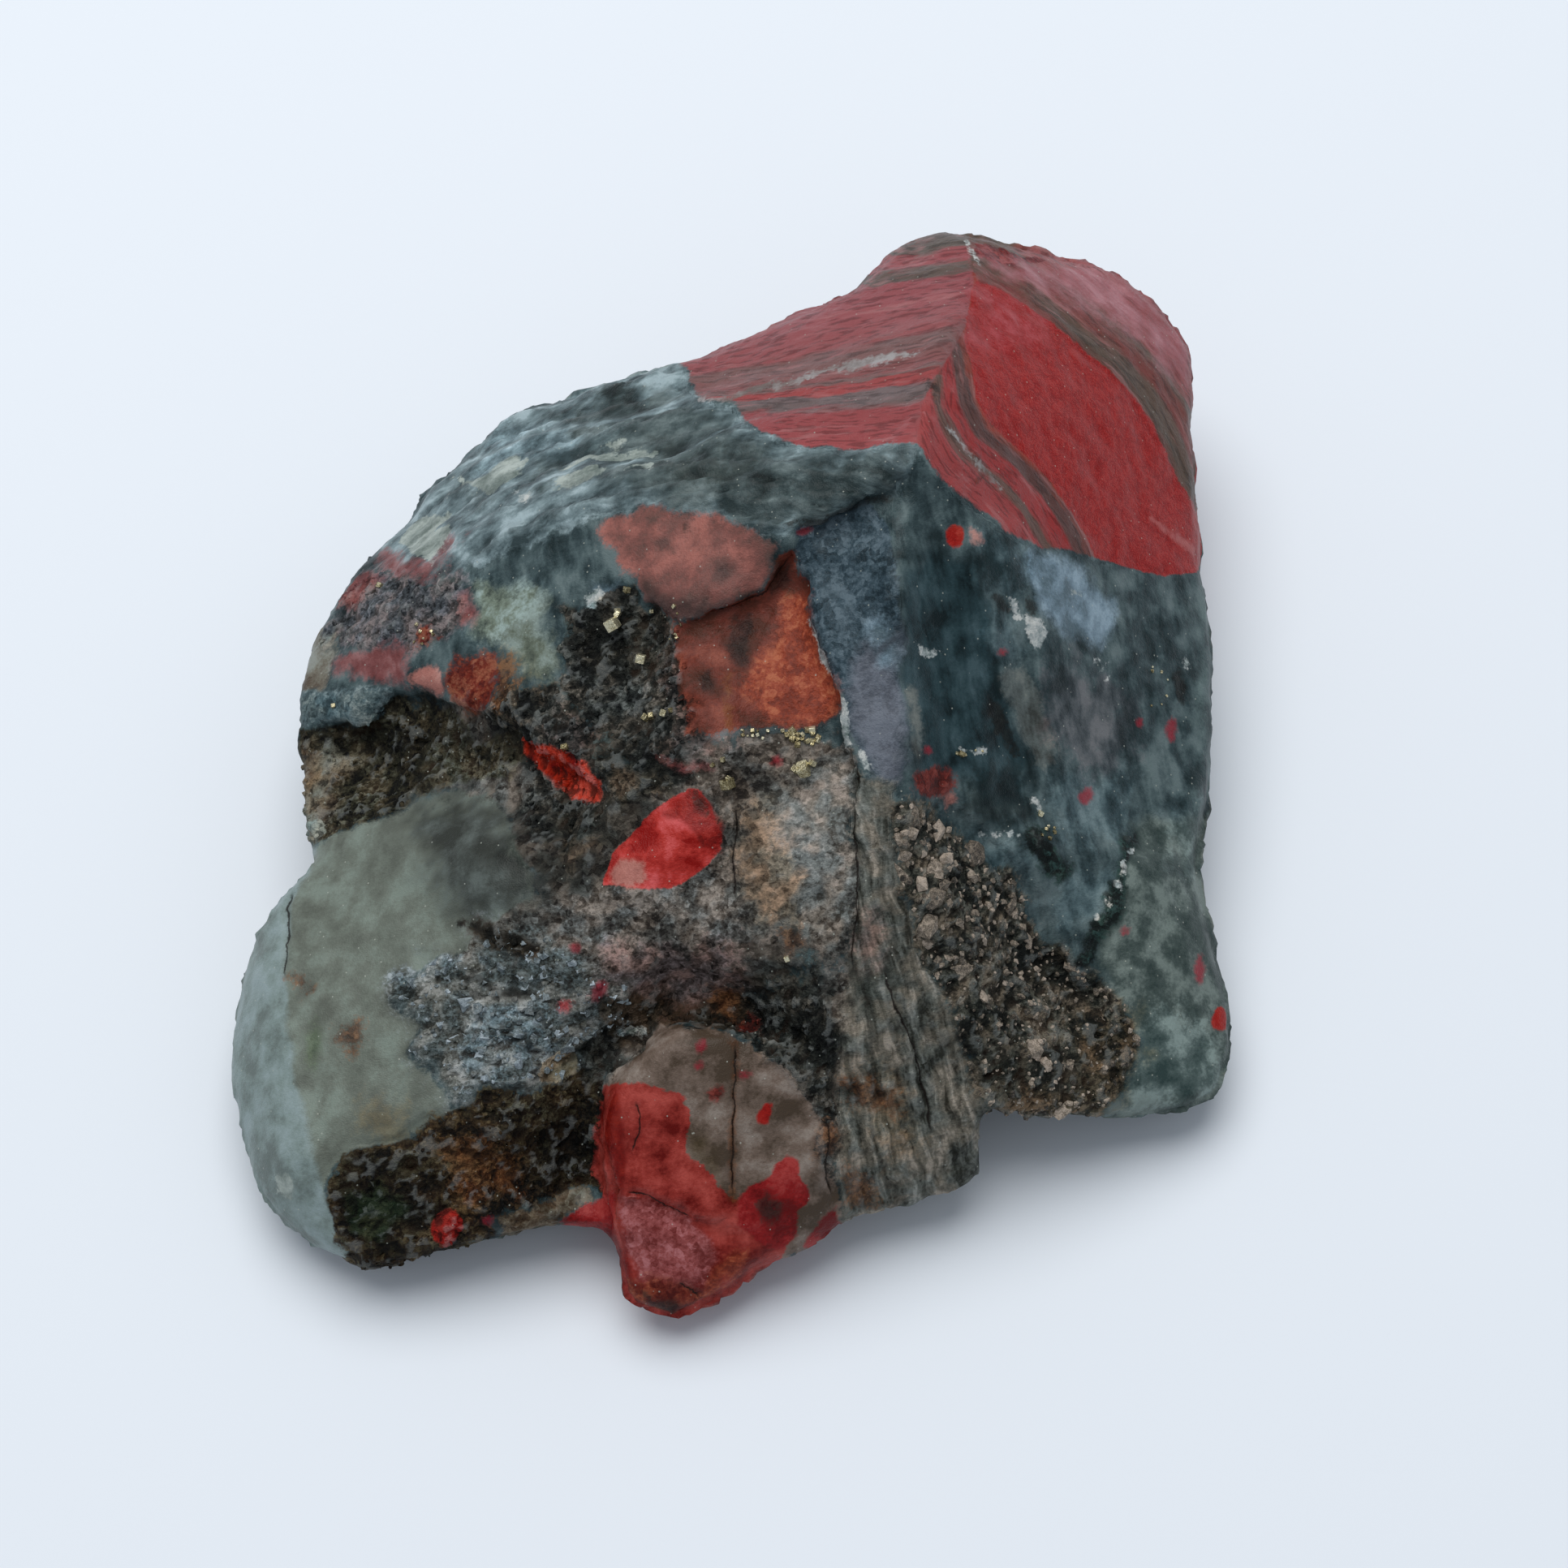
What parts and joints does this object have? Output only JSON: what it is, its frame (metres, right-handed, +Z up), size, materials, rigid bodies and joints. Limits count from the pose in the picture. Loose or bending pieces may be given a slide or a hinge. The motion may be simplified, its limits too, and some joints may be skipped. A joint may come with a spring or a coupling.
{
  "type": "bloodstone",
  "caption": "Rough broken piece of bloodstone: dark green chalcedony with red jasper, angular on top and lying on a small flat spot.",
  "frame": {"origin": "on the resting plane, under the middle of the stone's bounding box", "axes": "+X to the stone's right and +Y to its back as it is seen from its best side, +Z up from the resting plane"},
  "size_m": [0.07, 0.0808, 0.0343],
  "materials": {
    "stone": "broken chalcedony: waxy, with fine grain, red jasper and dark green moss-like patches"
  },
  "bodies": {
    "root": {"bloodstone": "stone"}
  },
  "joints": []
}
